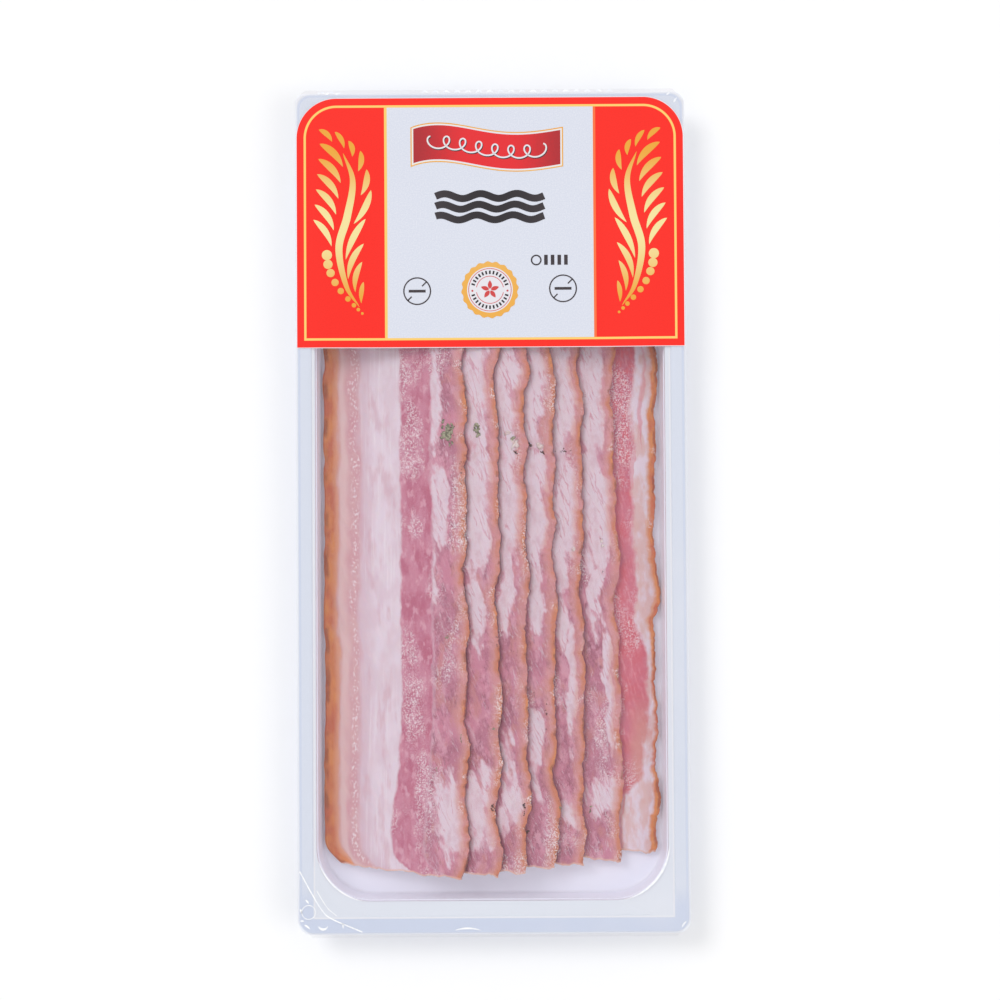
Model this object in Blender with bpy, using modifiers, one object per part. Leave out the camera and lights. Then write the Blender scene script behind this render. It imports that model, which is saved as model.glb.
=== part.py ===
"""A sealed bacon pack: seven shingled rashers in a white thermoformed tray, under a clear lid film
with a printed label across its far end. Metres, +Z up, the tray's base at z = 0, the label end at +Y."""

import math

import bmesh
import bpy

# Tray, pressed from one sheet
PACK_LENGTH = 0.260
FILM_OVERHANG = 0.0008
TRAY_HALF = (0.060, PACK_LENGTH / 2 - FILM_OVERHANG)
TRAY_DEPTH = 0.0145
SHEET = 0.0005
FLANGE_CUTS = (0.0036, 0.0030, 0.0047, 0.0042)  # far right, far left, near left, near right
LIP_WIDTH = 0.0009
LIP_DROP = 0.0011
CAVITY_SHIFT = -0.0004  # the web was cut a little off the pocket's centre line
CAVITY_HALF = (0.0538, 0.1191)
CAVITY_CORNER = 0.018
WALL_DRAFT = 0.0007  # how far the foot of the wall stands in from its top
LEDGE_DROP = 0.0022
LEDGE_WIDTH = 0.0003
SHOULDER = 0.0004
BASE_RADIUS = 0.0006
CORNER_STEPS = 8
CUT, ROUND = 1.0, 2.0  # bulge of a corner: a straight cut or a circular arc

# Lid film and label
GAP = 0.00025
FILM = 0.00025
LID_SAG = 0.0009
LID_SAG_RUN = 0.022
SAG_STEPS = 5
LABEL = 0.0002
LABEL_HALF_WIDTH = 0.0597
LABEL_NEAR, LABEL_FAR = 0.0503, 0.1276
LABEL_CORNER = 0.0125
LABEL_COLUMNS = 10
LABEL_ROWS = 6

# Rashers, the first on top and at the left: right edge, near end, lean of the right edge from far to near
RASHER_WIDTH = 0.0440
RASHER_THICKNESS = 0.00195
RASHER_FAR_END = 0.1090
RASHERS = (
    (-0.0081, -0.1126, 0.0000),
    (0.0018, -0.1120, 0.0005),
    (0.0104, -0.1112, 0.0000),
    (0.0190, -0.1100, 0.0005),
    (0.0277, -0.1092, 0.0000),
    (0.0382, -0.1082, 0.0030),
    (0.0507, -0.1058, -0.0006),
)
PITCH = RASHER_THICKNESS + 1.2 * GAP  # height from one rasher to the next where they overlap
FIRST_LEFT = -0.0523
END_SLANT = 0.09
EDGE_WAVE = 0.0006
EDGE_WAVE_LENGTHS = (0.061, 0.034, 0.022)
CORNER_RUN = 0.0075
CORNER_PULL = 0.0060
RASHER_COLUMNS = 7
RASHER_ROWS = 42


def clear_scene():
    for obj in list(bpy.data.objects):
        bpy.data.objects.remove(obj, do_unlink=True)


def material(name, color, roughness, alpha=1.0):
    made = bpy.data.materials.new(name)
    made.use_nodes = True
    shader = made.node_tree.nodes["Principled BSDF"]
    shader.inputs["Base Color"].default_value = (*color, 1.0)
    shader.inputs["Roughness"].default_value = roughness
    shader.inputs["Metallic"].default_value = 0.0
    shader.inputs["Alpha"].default_value = alpha
    return made


def add_object(name, bm, made_of, thickness, offset):
    """One object of the open surface bm, thickened by Solidify."""
    bmesh.ops.recalc_face_normals(bm, faces=bm.faces)
    bm.faces.ensure_lookup_table()
    largest = max(bm.faces, key=lambda face: face.calc_area())
    if largest.normal.z < 0:
        bmesh.ops.reverse_faces(bm, faces=bm.faces)
    mesh = bpy.data.meshes.new(name)
    bm.to_mesh(mesh)
    bm.free()
    mesh.materials.append(made_of)
    obj = bpy.data.objects.new(name, mesh)
    pack.objects.link(obj)
    solidify = obj.modifiers.new("Thickness", "SOLIDIFY")
    solidify.thickness = thickness
    solidify.offset = offset
    solidify.use_even_offset = True
    return obj


def smoothstep(t):
    t = min(max(t, 0.0), 1.0)
    return t * t * (3 - 2 * t)


# ---- Outlines --------------------------------------------------------------------------------


def outline(half, corners, bulge, shift_x=0.0):
    """Points of a rectangle anticlockwise from +X, its four corners cut or rounded."""
    points = []
    signs = ((1, 1), (-1, 1), (-1, -1), (1, -1))
    for quarter, (side_x, side_y) in enumerate(signs):
        size = corners[quarter]
        for step in range(CORNER_STEPS + 1):
            angle = math.pi / 2 * step / CORNER_STEPS
            along = max(math.cos(angle), 0.0) ** (2 / bulge)
            across = math.sin(angle) ** (2 / bulge)
            if quarter % 2:
                along, across = across, along
            x = side_x * (half[0] - size + size * along)
            y = side_y * (half[1] - size + size * across)
            points.append((x + shift_x, y))
    return points


def inset(half, by):
    return (half[0] - by, half[1] - by)


def loft(bm, rings):
    """Quads between neighbouring rings of as many points, each ring given as points and heights."""
    loops = []
    for points, height in rings:
        loops.append([bm.verts.new((x, y, height)) for x, y in points])
    for outer, inner in zip(loops, loops[1:]):
        count = len(outer)
        for i in range(count):
            j = (i + 1) % count
            bm.faces.new((outer[i], outer[j], inner[j], inner[i]))
    bm.faces.new(loops[-1])


def cavity_ring(by):
    """The pocket's outline, by inside its edge at the flange."""
    corner = CAVITY_CORNER - by
    return outline(inset(CAVITY_HALF, by), [corner] * 4, ROUND, CAVITY_SHIFT)


def flange_ring(by):
    cuts = [cut - 0.4 * by for cut in FLANGE_CUTS]
    return outline(inset(TRAY_HALF, by), cuts, CUT)


# ---- Tray ------------------------------------------------------------------------------------


def build_tray():
    ledge = TRAY_DEPTH - LEDGE_DROP
    rings = [
        (flange_ring(0.0), TRAY_DEPTH - LIP_DROP),
        (flange_ring(0.35 * LIP_WIDTH), TRAY_DEPTH - 0.3 * LIP_DROP),
        (flange_ring(LIP_WIDTH), TRAY_DEPTH),
        (cavity_ring(0.0), TRAY_DEPTH),
        (cavity_ring(0.7 * SHOULDER), TRAY_DEPTH - 0.4 * SHOULDER),
        (cavity_ring(SHOULDER), TRAY_DEPTH - 1.5 * SHOULDER),
        (cavity_ring(SHOULDER + 0.1 * WALL_DRAFT), ledge),
        (cavity_ring(SHOULDER + 0.1 * WALL_DRAFT + LEDGE_WIDTH), ledge - LEDGE_WIDTH),
        (cavity_ring(WALL_DRAFT + LEDGE_WIDTH), SHEET + BASE_RADIUS),
        (cavity_ring(WALL_DRAFT + LEDGE_WIDTH + 0.3 * BASE_RADIUS), SHEET + 0.3 * BASE_RADIUS),
        (cavity_ring(WALL_DRAFT + LEDGE_WIDTH + BASE_RADIUS), SHEET),
    ]
    bm = bmesh.new()
    loft(bm, rings)
    white = material("tray_white", (0.76, 0.79, 0.84), 0.35)
    add_object("tray", bm, white, SHEET, -1.0)


# ---- Lid film and label ----------------------------------------------------------------------


def depth_inside(x, y):
    """How far a point lies inside the pocket's edge at the flange; negative on the flange."""
    over_x = abs(x - CAVITY_SHIFT) - (CAVITY_HALF[0] - CAVITY_CORNER)
    over_y = abs(y) - (CAVITY_HALF[1] - CAVITY_CORNER)
    outside = math.hypot(max(over_x, 0.0), max(over_y, 0.0))
    return CAVITY_CORNER - outside - min(max(over_x, over_y), 0.0)


def lid_height(x, y):
    """Underside of the lid film: flat on the flange, and a shallow dish over the pocket."""
    return TRAY_DEPTH + GAP - LID_SAG * smoothstep(depth_inside(x, y) / LID_SAG_RUN)


def build_film():
    edge = outline((TRAY_HALF[0], PACK_LENGTH / 2), FLANGE_CUTS, CUT)
    rings = [(edge, TRAY_DEPTH + GAP)]
    for step in range(SAG_STEPS + 1):
        share = step / SAG_STEPS
        by = 0.8 * CAVITY_CORNER * share
        sag = LID_SAG * smoothstep(by / LID_SAG_RUN)
        rings.append((cavity_ring(by), TRAY_DEPTH + GAP - sag))
    by = LID_SAG_RUN
    middle = outline(inset(CAVITY_HALF, by), [0.2 * CAVITY_CORNER] * 4, ROUND, CAVITY_SHIFT)
    rings.append((middle, TRAY_DEPTH + GAP - LID_SAG))
    bm = bmesh.new()
    loft(bm, rings)
    clear = material("clear_film", (0.92, 0.93, 0.95), 0.1, alpha=0.25)
    add_object("lid_film", bm, clear, FILM, 1.0)


def label_rows():
    """Distance of each row from the near edge and its half width, the far corners rounded."""
    straight = LABEL_FAR - LABEL_NEAR - LABEL_CORNER
    rows = [(straight * i / LABEL_ROWS, LABEL_HALF_WIDTH) for i in range(LABEL_ROWS)]
    for step in range(CORNER_STEPS + 1):
        angle = math.pi / 2 * step / CORNER_STEPS
        half = LABEL_HALF_WIDTH - LABEL_CORNER * (1 - math.cos(angle))
        rows.append((straight + LABEL_CORNER * math.sin(angle), half))
    return rows


def build_label():
    rows = label_rows()
    bm = bmesh.new()
    grid = bmesh.ops.create_grid(
        bm, x_segments=LABEL_COLUMNS, y_segments=len(rows) - 1, size=1.0
    )
    for vert in grid["verts"]:
        row = round((vert.co.y + 1) / 2 * (len(rows) - 1))
        from_near, half = rows[row]
        x = vert.co.x * half
        y = LABEL_NEAR + from_near
        vert.co = (x, y, lid_height(x, y) + FILM + GAP)
    paper = material("label_print", (0.85, 0.05, 0.03), 0.4)
    add_object("label", bm, paper, LABEL, 1.0)


# ---- Rashers ---------------------------------------------------------------------------------


def left_edge(index):
    return FIRST_LEFT if index == 0 else RASHERS[index][0] - RASHER_WIDTH


def layers_under(x):
    """Rashers lying below the first one at x, running smoothly from one left edge to the next."""
    knots = [left_edge(i) for i in range(len(RASHERS))]
    if x <= knots[0]:
        return 0.0
    for i, (start, end) in enumerate(zip(knots, knots[1:])):
        if x < end:
            return i + (x - start) / (end - start)
    return len(knots) - 1.0


def rasher_height(index, x):
    """Middle of a rasher's thickness: it lies on the floor at its left edge, then on its neighbours."""
    base = SHEET + GAP + RASHER_THICKNESS / 2
    return base + PITCH * max(layers_under(x) - index, 0.0)


def edge_wave(index, y):
    waves = sum(
        math.sin(2 * math.pi * y / length + 1.7 * index + 2.1 * i)
        for i, length in enumerate(EDGE_WAVE_LENGTHS)
    )
    return EDGE_WAVE * waves / 1.6


def rasher_point(index, u, v):
    """Place of a point u across the rasher from its left edge and v along it from its near end."""
    right, near, lean = RASHERS[index]
    left = left_edge(index)
    near += END_SLANT * (1 - u) * (right - left)
    y = near + v * (RASHER_FAR_END - near)
    to_end = min(v, 1 - v) * (RASHER_FAR_END - near)
    pull = CORNER_PULL * max(1 - to_end / CORNER_RUN, 0.0) ** 2
    start = left + pull
    end = right + edge_wave(index, y) - lean * y / RASHER_FAR_END / 2 - 0.4 * pull
    return start + u * (end - start), y


def build_rasher(index, meat):
    bm = bmesh.new()
    grid = bmesh.ops.create_grid(
        bm, x_segments=RASHER_COLUMNS, y_segments=RASHER_ROWS, size=1.0
    )
    for vert in grid["verts"]:
        x, y = rasher_point(index, (vert.co.x + 1) / 2, (vert.co.y + 1) / 2)
        vert.co = (x, y, rasher_height(index, x))
    add_object(f"rasher_{index + 1}", bm, meat, RASHER_THICKNESS, 0.0)


clear_scene()
pack = bpy.data.collections.new("bacon_pack")
bpy.context.scene.collection.children.link(pack)
build_tray()
build_film()
build_label()
bacon = material("bacon", (0.62, 0.33, 0.36), 0.4)
for rasher in range(len(RASHERS)):
    build_rasher(rasher, bacon)
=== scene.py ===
import bpy
import math
import numpy as np
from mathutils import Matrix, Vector, noise
from mathutils.bvhtree import BVHTree
from random import Random


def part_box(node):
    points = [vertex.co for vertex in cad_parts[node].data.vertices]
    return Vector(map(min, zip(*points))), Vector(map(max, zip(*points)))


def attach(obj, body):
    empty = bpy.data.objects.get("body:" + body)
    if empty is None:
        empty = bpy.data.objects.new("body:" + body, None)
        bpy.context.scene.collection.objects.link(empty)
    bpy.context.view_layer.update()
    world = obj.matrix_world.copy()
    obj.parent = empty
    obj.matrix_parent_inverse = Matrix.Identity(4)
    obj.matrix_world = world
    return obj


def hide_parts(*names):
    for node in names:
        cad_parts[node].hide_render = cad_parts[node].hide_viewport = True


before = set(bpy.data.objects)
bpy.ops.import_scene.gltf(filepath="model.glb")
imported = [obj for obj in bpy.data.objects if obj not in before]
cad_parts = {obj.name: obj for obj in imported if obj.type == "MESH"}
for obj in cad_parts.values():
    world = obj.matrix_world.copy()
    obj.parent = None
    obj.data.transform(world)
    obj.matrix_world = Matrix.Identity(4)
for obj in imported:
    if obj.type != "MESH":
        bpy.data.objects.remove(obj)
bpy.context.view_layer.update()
mm = 0.001


def deselectAll():
    if bpy.context.object and bpy.context.object.mode != "OBJECT":
        bpy.ops.object.mode_set(mode="OBJECT")
    bpy.ops.object.select_all(action="DESELECT")


def pick(piece):
    deselectAll()
    piece.select_set(True)
    bpy.context.view_layer.objects.active = piece


def applyAll(piece):
    pick(piece)
    for modifier in list(piece.modifiers):
        bpy.ops.object.modifier_apply(modifier=modifier.name)


def settle(piece):  # leaves the place in the mesh
    pick(piece)
    bpy.ops.object.transform_apply(location=True, rotation=True, scale=True)


def enter(piece, mode="VERT"):
    pick(piece)
    bpy.ops.object.mode_set(mode="EDIT")
    bpy.ops.mesh.select_mode(type=mode)
    bpy.ops.mesh.select_all(action="SELECT")


def leave():
    bpy.ops.object.mode_set(mode="OBJECT")


def points(piece):
    flat = np.empty(len(piece.data.vertices) * 3)
    piece.data.vertices.foreach_get("co", flat)
    return flat.reshape(-1, 3)


def setPoints(piece, places):
    piece.data.vertices.foreach_set("co", np.ascontiguousarray(places, dtype=float).ravel())
    piece.data.update()


def addGrid(columns, rows):
    bpy.ops.mesh.primitive_grid_add(x_subdivisions=columns, y_subdivisions=rows, size=2)
    piece = bpy.context.object
    return piece, points(piece)


def shapeTo(piece, x, y, z):
    setPoints(piece, np.stack([x, y, z], axis=1) * mm)


def thicken(piece, name, thickness, offset):
    wall = piece.modifiers.new(name, "SOLIDIFY")
    wall.thickness, wall.offset = thickness, offset


def join(pieces, name):
    deselectAll()
    for piece in pieces:
        piece.select_set(True)
    bpy.context.view_layer.objects.active = pieces[0]
    if len(pieces) > 1:
        bpy.ops.object.join()
    pieces[0].name = pieces[0].data.name = name
    return pieces[0]


def finishPiece(piece, slotName, material, *nodes):
    piece.data.materials.clear()
    piece.data.materials.append(material)
    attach(piece, "root")
    if nodes:
        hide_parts(*nodes)


class Wire:  # one socket's value, with Python's own operators
    def __init__(self, paint, socket):
        self.paint, self.socket = paint, socket

    def maths(self, operation, *others):
        return self.paint.node("ShaderNodeMath", {"operation": operation}, [self, *others])

    def __add__(self, other):
        return self.maths("ADD", other)

    def __sub__(self, other):
        return self.maths("SUBTRACT", other)

    def __rsub__(self, other):
        return self.paint.node("ShaderNodeMath", {"operation": "SUBTRACT"}, [other, self])

    def __mul__(self, other):
        return self.maths("MULTIPLY", other)

    def __truediv__(self, other):
        return self.maths("DIVIDE", other)

    __radd__ = __add__
    __rmul__ = __mul__

    def most(self, other):
        return self.maths("MAXIMUM", other)

    def least(self, other):
        return self.maths("MINIMUM", other)

    def size(self):
        return self.maths("ABSOLUTE")

    def power(self, other):
        return self.maths("POWER", other)

    def step(self, low, high):  # 0 below low, 1 above high, smooth between
        inputs = {"Value": self, "From Min": low, "From Max": high}
        return self.paint.node("ShaderNodeMapRange", {"interpolation_type": "SMOOTHSTEP"}, inputs)

    def between(self, low, high, soft):
        return self.step(low - soft, low + soft) * (1 - self.step(high - soft, high + soft))


class Paint:  # one material's node tree
    def __init__(self, name, roughness, **constants):
        self.material = bpy.data.materials.new(name)
        self.material.use_nodes = True
        self.tree = self.material.node_tree
        self.shader = self.tree.nodes["Principled BSDF"]
        self.shader.inputs["Roughness"].default_value = roughness
        for socketName, value in constants.items():
            self.shader.inputs[socketName.replace("_", " ")].default_value = value

    def node(self, kind, settings, inputs, output=0):
        made = self.tree.nodes.new(kind)
        for key, value in settings.items():
            setattr(made, key, value)
        pairs = inputs.items() if isinstance(inputs, dict) else enumerate(inputs)
        for key, value in pairs:
            self.feed(made.inputs[key], value)
        return Wire(self, made.outputs[output])

    def feed(self, socket, value):
        if isinstance(value, Wire):
            self.tree.links.new(value.socket, socket)
        elif isinstance(value, (tuple, list)) and socket.type == "RGBA":
            socket.default_value = (*value[:3], 1.0)
        else:
            socket.default_value = value

    def give(self, socketName, value):
        self.feed(self.shader.inputs[socketName], value)

    def place(self):
        return self.node("ShaderNodeTexCoord", {}, {}, "Object")

    def axes(self, vector):
        split = self.node("ShaderNodeSeparateXYZ", {}, [vector])
        outputs = split.socket.node.outputs
        return [Wire(self, outputs[i]) for i in range(3)]

    def inMm(self):
        return [axis * 1000 for axis in self.axes(self.place())]

    def vector(self, x, y, z):
        return self.node("ShaderNodeCombineXYZ", {}, [x, y, z])

    def own(self, name, output="Fac"):
        return self.node("ShaderNodeAttribute", {"attribute_name": name}, {}, output)

    def cloud(self, where, scale, detail=3.0, rough=0.55, output="Fac", warp=0.0):
        inputs = {"Vector": where, "Scale": scale, "Detail": detail, "Roughness": rough, "Distortion": warp}
        return self.node("ShaderNodeTexNoise", {}, inputs, output)

    def blend(self, first, second, factor):
        settings = {"data_type": "RGBA", "blend_type": "MIX"}
        inputs = {"Factor": factor, 6: first, 7: second}
        return self.node("ShaderNodeMix", settings, inputs, 2)

    def bump(self, height, strength, distance):
        inputs = {"Height": height, "Strength": strength, "Distance": distance}
        self.give("Normal", self.node("ShaderNodeBump", {}, inputs, "Normal"))


def srgb(red, green, blue):
    channels = (red / 255, green / 255, blue / 255)
    return tuple(c / 12.92 if c <= 0.04045 else ((c + 0.055) / 1.055) ** 2.4 for c in channels)


trayLow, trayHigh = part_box("tray")
filmLow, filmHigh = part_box("lid_film")
labelLow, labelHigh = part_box("label")
flangeTop = trayHigh.z
halfWide, halfLong = trayHigh.x, trayHigh.y
corners = ((-1, -1), (1, -1), (1, 1), (-1, 1))  # from near left, anticlockwise
tray = {
    "sheet": 0.5 * mm, "seamIn": 5.0 * mm, "seamRadius": 6.5 * mm, "seamStep": 0.32 * mm,
    "lipDrop": 1.2 * mm, "lipIn": 0.7 * mm, "wallDraft": 0.7 * mm,
    "cuts": (4.7, 4.2, 3.6, 3.0),  # near left, near right, far right, far left
    "pocketRadius": 17.8 * mm, "ledgeDrop": 2.4 * mm, "ledgeWidth": 0.3 * mm, "footRadius": 0.9 * mm,
    # the pocket's tone is a shade brighter and bluer than the flange's white: painted light that lifts the
    # pocket's shade
    "white": (233, 239, 248), "deep": (236, 238, 250), "rough": 0.34,
    # the next line holds the darker painted shade of the flange's outer band, the white of painted highlights
    # at the seam and rim (also used for pale random mottle), and the painted light given off by the pocket
    "band": (214, 224, 243), "highlightAndMottleWhite": (243, 245, 250), "paintedGlow": 0.15, "paintedGlowTone": (214, 216, 236),
}
pocket = {"halfX": 53.8 * mm, "halfY": 119.1 * mm, "shiftX": -0.4 * mm}


def outlineAt(halfX, halfY, height, radii, segments, shiftX=0.0):
    # a flat face whose corners, from near left and turning anticlockwise, are cut or rounded
    bpy.ops.mesh.primitive_plane_add(size=2, location=(shiftX, 0, height))
    piece = bpy.context.object
    piece.scale = (halfX, halfY, 1)
    settle(piece)
    for (sideX, sideY), radius in zip(corners, radii):
        corner = Vector((shiftX + sideX * halfX, sideY * halfY, height))
        enter(piece)
        bpy.ops.mesh.select_all(action="DESELECT")
        leave()
        nearest = min(piece.data.vertices, key=lambda v: (v.co - corner).length)
        nearest.select = True
        bpy.ops.object.mode_set(mode="EDIT")
        bpy.ops.mesh.bevel(offset=radius, affect="VERTICES", segments=segments, profile=0.5)
        leave()
    return piece


def growRing(piece, count, out, rise, centreX=0.0):
    # the last ring of edges is drawn outwards and up
    ring = points(piece)[-count:]
    halfX, halfY = np.abs(ring[:, 0] - centreX).max(), np.abs(ring[:, 1]).max()
    enter(piece)
    bpy.ops.mesh.select_all(action="DESELECT")
    leave()
    total = len(piece.data.vertices)
    for vertex in piece.data.vertices:
        vertex.select = vertex.index >= total - count
    last = set(range(total - count, total))
    for edge in piece.data.edges:
        edge.select = set(edge.vertices) <= last
    for face in piece.data.polygons:
        face.select = False
    bpy.ops.object.mode_set(mode="EDIT")
    bpy.ops.mesh.select_mode(type="EDGE")
    bpy.ops.mesh.extrude_edges_move(TRANSFORM_OT_translate={"value": (0, 0, rise)})
    factors = ((halfX + out) / halfX, (halfY + out) / halfY, 1)
    bpy.ops.transform.resize(value=factors, center_override=(centreX, 0, 0))
    leave()


def tagRing(piece, name, first, count):
    group = piece.vertex_groups.new(name=name)
    group.add(list(range(first, first + count)), 1.0, "REPLACE")


def bridgeRings(piece, one, other):
    enter(piece, "EDGE")
    bpy.ops.mesh.select_all(action="DESELECT")
    for name in (one, other):
        piece.vertex_groups.active = piece.vertex_groups[name]
        bpy.ops.object.vertex_group_select()
    bpy.ops.mesh.bridge_edge_loops()
    leave()


def makeTray():
    t = tray
    segments = 20
    count = 4 * (segments + 1)
    centre = pocket["shiftX"]
    seamTop = flangeTop - t["seamStep"]
    floorTop = t["sheet"]
    ledge = flangeTop - t["ledgeDrop"]
    foot = t["wallDraft"] + t["ledgeWidth"] + t["footRadius"]
    base = outlineAt(
        pocket["halfX"] - foot, pocket["halfY"] - foot, floorTop,
        [t["pocketRadius"] - foot] * 4, segments, centre,
    )
    footR = t["footRadius"]
    for step in range(1, 5):  # the floor turns up into the wall
        turn, before = math.pi / 8 * step, math.pi / 8 * (step - 1)
        out = footR * (math.sin(turn) - math.sin(before))
        up = footR * (math.cos(before) - math.cos(turn))
        growRing(base, count, out, up, centre)
    wallRise = ledge - t["ledgeWidth"] - floorTop - footR
    for share in (0.3, 0.7):
        growRing(base, count, share * t["wallDraft"] * 0.8, share * wallRise, centre)
    growRing(base, count, t["ledgeWidth"] * 0.8, t["ledgeWidth"] * 0.3, centre)
    growRing(base, count, t["ledgeWidth"] * 0.2, t["ledgeWidth"] * 0.7, centre)
    shoulder = 0.2 * t["wallDraft"]
    rise = seamTop - ledge
    growRing(base, count, 0.3 * shoulder, 0.72 * rise, centre)
    growRing(base, count, 0.3 * shoulder, 0.22 * rise, centre)
    growRing(base, count, 0.4 * shoulder, 0.06 * rise, centre)
    tagRing(base, "pocketEdge", len(base.data.vertices) - count, count)
    seam = outlineAt(
        halfWide - t["seamIn"], halfLong - t["seamIn"] - 0.8 * mm, seamTop,
        (17 * mm, t["seamRadius"], t["seamRadius"], t["seamRadius"]), segments,
    )
    enter(seam)
    bpy.ops.mesh.delete(type="ONLY_FACE")
    leave()
    tagRing(seam, "seamInner", 0, count)
    growRing(seam, count, 0.12 * mm, 0.3 * t["seamStep"])
    growRing(seam, count, 0.2 * mm, 0.5 * t["seamStep"])
    growRing(seam, count, 0.15 * mm, 0.2 * t["seamStep"])
    tagRing(seam, "seamOuter", len(seam.data.vertices) - count, count)
    inner = t["lipIn"]
    segmentsOut = 4
    countOut = 4 * (segmentsOut + 1)
    cuts = [(cut - 0.4) * mm for cut in t["cuts"]]
    rim = outlineAt(halfWide - inner, halfLong - inner, flangeTop, cuts, segmentsOut)
    enter(rim)
    bpy.ops.mesh.delete(type="ONLY_FACE")
    leave()
    tagRing(rim, "rimInner", 0, countOut)
    growRing(rim, countOut, 0.45 * inner, -0.12 * t["lipDrop"])
    growRing(rim, countOut, 0.35 * inner, -0.33 * t["lipDrop"])
    growRing(rim, countOut, 0.2 * inner, -0.55 * t["lipDrop"])
    shell = join([base, seam, rim], "trayShell")
    bridgeRings(shell, "pocketEdge", "seamInner")
    bridgeRings(shell, "seamOuter", "rimInner")
    enter(shell)
    bpy.ops.mesh.remove_doubles(threshold=0.01 * mm)
    bpy.ops.mesh.normals_make_consistent(inside=False)
    leave()
    biggest = max(shell.data.polygons, key=lambda face: face.area)
    if biggest.normal.z < 0:
        enter(shell)
        bpy.ops.mesh.flip_normals()
        leave()
    thicken(shell, "sheet", t["sheet"], -1)
    applyAll(shell)
    bpy.ops.object.shade_smooth_by_angle(angle=math.radians(32))
    return shell


def insetFrom(overX, overY, radius):  # mm inside a rounded corner, as wires
    outside = (overX.most(0).power(2) + overY.most(0).power(2)).power(0.5)
    return radius - outside - overX.most(overY).least(0)


def trayPaint():
    p = Paint(
        "moulded white", tray["rough"], IOR=1.46, Coat_Weight=0.3, Coat_Roughness=0.08,
        Emission_Strength=tray["paintedGlow"],
    )
    x, y, z = p.inMm()
    mottle = p.cloud(p.vector(x, y, z), 0.022, 3)
    fine = p.cloud(p.vector(x, y, z), 0.9, 2)
    radius = 5.0
    overX, overY = x.size() - (halfWide / mm - radius), y.size() - (halfLong / mm - radius)
    inward = insetFrom(overX, overY, radius) + (mottle - 0.5) * 0.2
    seamIn = tray["seamIn"] / mm
    low = (z - 12.6).step(0.0, 1.4)
    # painted light: below the flange the pocket takes the brighter, bluer tone
    body = p.blend(srgb(*tray["deep"]), srgb(*tray["white"]), low)
    # painted shade: the flange's outer band beyond the seam turns darker and bluer, a little all round and
    # most at the near end
    outerBandShade = (1 - (inward - seamIn).step(-0.25, 0.05)) * low
    near = 1 - (y + 116).step(-6, 3)
    body = p.blend(body, srgb(*tray["band"]), outerBandShade * (0.35 + 0.65 * near))
    # painted highlight: a pale line along the seam's step
    line = (inward - seamIn).between(-0.05, 0.42, 0.12) * low
    body = p.blend(body, srgb(*tray["highlightAndMottleWhite"]), line * 0.85)
    # painted highlight along the down-turned lip at the rim, then a darker, bluer line just inside it
    rimHighlight = (1 - inward.step(0.1, 0.75)) * low
    body = p.blend(body, srgb(*tray["highlightAndMottleWhite"]), rimHighlight * 0.9)
    body = p.blend(body, srgb(*tray["band"]), (inward - 0.9).between(-0.15, 0.5, 0.15) * low * 0.8)
    # pale random mottle in the same white
    p.give("Base Color", p.blend(body, srgb(*tray["highlightAndMottleWhite"]), mottle.step(0.55, 0.85) * 0.3))
    p.give("Emission Color", p.blend(srgb(*tray["paintedGlowTone"]), (0, 0, 0), low))  # painted light: the pocket's walls and floor give off a faint light that lifts their shade, standing in for light through the thin wall
    p.give("Roughness", mottle * 0.16 + tray["rough"] - 0.08)
    p.bump(mottle * 0.8 + fine * 0.05, 0.12, 0.4 * mm)
    return p.material


film = {
    "gap": 0.04, "thick": 0.08, "sag": 0.9, "sagRun": 22.0, "columns": 96, "rows": 208,
    "gloss": (0.95, 0.96, 0.98), "tint": (0.975, 0.970, 0.973),
}


def smooth(t):
    t = np.clip(t, 0, 1)
    return t * t * (3 - 2 * t)


def depthInside(x, y):  # mm inside the pocket's edge
    radius = tray["pocketRadius"] / mm
    overX = np.abs(x - pocket["shiftX"] / mm) - (pocket["halfX"] / mm - radius)
    overY = np.abs(y) - (pocket["halfY"] / mm - radius)
    outside = np.hypot(np.maximum(overX, 0), np.maximum(overY, 0))
    return radius - outside - np.minimum(np.maximum(overX, overY), 0)


def lidHeight(x, y):  # underside of the film, in mm
    return flangeTop / mm + film["gap"] - film["sag"] * smooth(depthInside(x, y) / film["sagRun"])


rasher = {
    "width": 44.0 * mm, "thick": 1.95 * mm, "columns": 88, "hiddenColumns": 44, "rows": 340, "crowd": 1.7,
}
ripples = (  # middle, reach and height of each wrinkled spot
    (-60, 8.0, 0.22), (-70, 3.0, 0.12), (-38, 3.0, 0.1),
)
restGap = 0.25  # from the pocket's floor to the lowest rasher
rashers = [  # right edge, near end and lean of the right edge, in mm, the first on top
    (-8.1, -112.6, 0.0), (1.8, -112.0, 0.5), (10.4, -111.2, 0.0), (19.0, -110.0, 0.5),
    (27.7, -109.2, 0.0), (38.2, -108.2, 3.0), (50.7, -105.8, -0.6),
]
farEnd = 109.0
firstLeft = -52.3
pitch = 2.25


def leftEdge(index):
    return firstLeft if index == 0 else rashers[index][0] - rasher["width"] / mm


def layersUnder(x):
    knots = [leftEdge(i) for i in range(len(rashers))]
    return np.interp(x, knots, range(len(knots)))


def softLayers(x, blur=3.2):
    offsets = np.linspace(-blur, blur, 9)
    return sum(layersUnder(x + offset) for offset in offsets) / len(offsets)


def edgeWave(index, y):
    lengths = (61, 34, 22)
    waves = sum(np.sin(2 * np.pi * y / length + 1.7 * index + 2.1 * i) for i, length in enumerate(lengths))
    return 0.6 * waves / 1.6


def ragged(seed, places, size, kind=0):
    return np.array([noise.noise(Vector((seed + kind, a * size, b * size))) for a, b in places])


edgeRows = np.linspace(-118, farEnd, 1100)


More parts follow.
